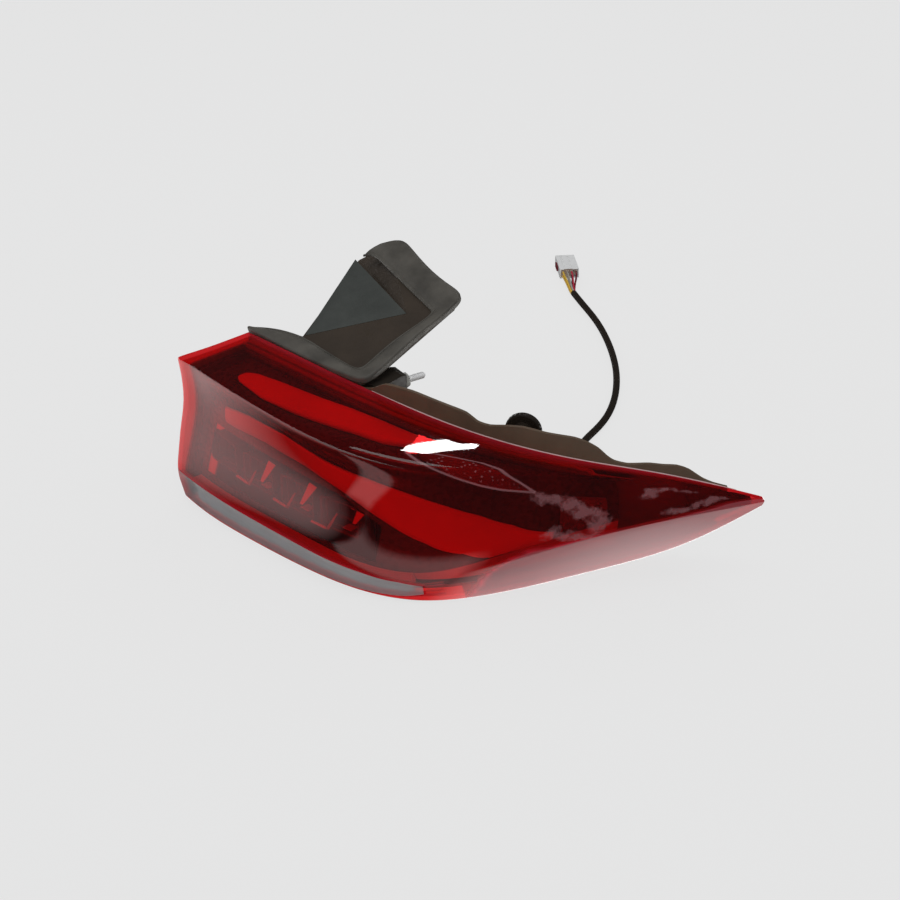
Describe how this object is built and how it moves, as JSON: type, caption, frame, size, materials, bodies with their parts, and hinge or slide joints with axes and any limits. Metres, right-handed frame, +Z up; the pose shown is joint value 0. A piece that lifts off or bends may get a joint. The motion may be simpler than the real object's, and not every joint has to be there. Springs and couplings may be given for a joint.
{
  "type": "tail light cluster",
  "caption": "Wrap-around red tail light cluster with a clear lower strip, light bars, a forward side extension with a rubber lip, mounting studs, a locating pin and a wiring lead.",
  "frame": {"origin": "centre of the lamp's footprint on the plane it rests on, without the lead", "axes": "+X outboard across the car along the longest side, +Y towards the front of the car along the studs, +Z up"},
  "size_m": [0.5926, 0.5849, 0.1934],
  "materials": {
    "red_lens": "clear red acrylic, polished",
    "clear_lens": "clear acrylic, polished",
    "housing_plastic": "fine moulded grain, dark brown-grey",
    "bezel_plastic": "dark gloss seen through the red lens",
    "light_guide": "satin red light guide",
    "circuit_green": "solder resist",
    "strip_grey": "grey, fluted",
    "reflex_red": "prismatic red",
    "cup_mirror": "vacuum metallised",
    "led_yellow": "phosphor face",
    "carrier_black": "plain",
    "driver_case": "cast, unpainted",
    "extension_plastic": "satin dark brown-grey",
    "lip_rubber": "smooth, slightly glossy",
    "bracket_black": "satin black",
    "nut_steel": "zinc-grey",
    "stud_steel": "bright plated",
    "pin_nylon": "natural nylon",
    "cap_black": "smooth black",
    "grommet_rubber": "smooth",
    "sheath_black": "glossy sheath",
    "wire_cover": "coloured insulation",
    "connector_white": "moulded, smooth",
    "lock_red": "moulded, smooth"
  },
  "bodies": {
    "root": {"lens_red": "red_lens", "lens_clear": "clear_lens", "housing": "housing_plastic", "bezel": "bezel_plastic", "upper_light_bar": "light_guide", "lower_light_bar": "light_guide", "upper_circuit": "circuit_green", "lower_circuit": "circuit_green", "strip_guide": "strip_grey", "side_reflex": "reflex_red", "side_prism": "reflex_red", "cup_1": "cup_mirror", "cup_2": "cup_mirror", "cup_3": "cup_mirror", "cup_4": "cup_mirror", "board_1": "circuit_green", "board_2": "circuit_green", "board_3": "circuit_green", "board_4": "circuit_green", "led_1": "led_yellow", "led_2": "led_yellow", "led_3": "led_yellow", "led_4": "led_yellow", "led_carrier": "carrier_black", "driver_box": "driver_case", "side_extension": "extension_plastic", "extension_lip": "lip_rubber", "extension_gusset": "housing_plastic", "upper_bracket": "bracket_black", "upper_nut": "nut_steel", "upper_stud": "stud_steel", "lower_bracket": "bracket_black", "lower_nut": "nut_steel", "lower_stud": "stud_steel", "pin_seat": "housing_plastic", "locating_pin": "pin_nylon", "service_cap": "cap_black", "harness_grommet": "grommet_rubber", "harness_cable": "sheath_black", "harness_wires": "wire_cover", "connector": "connector_white", "connector_lock": "lock_red"}
  },
  "joints": []
}
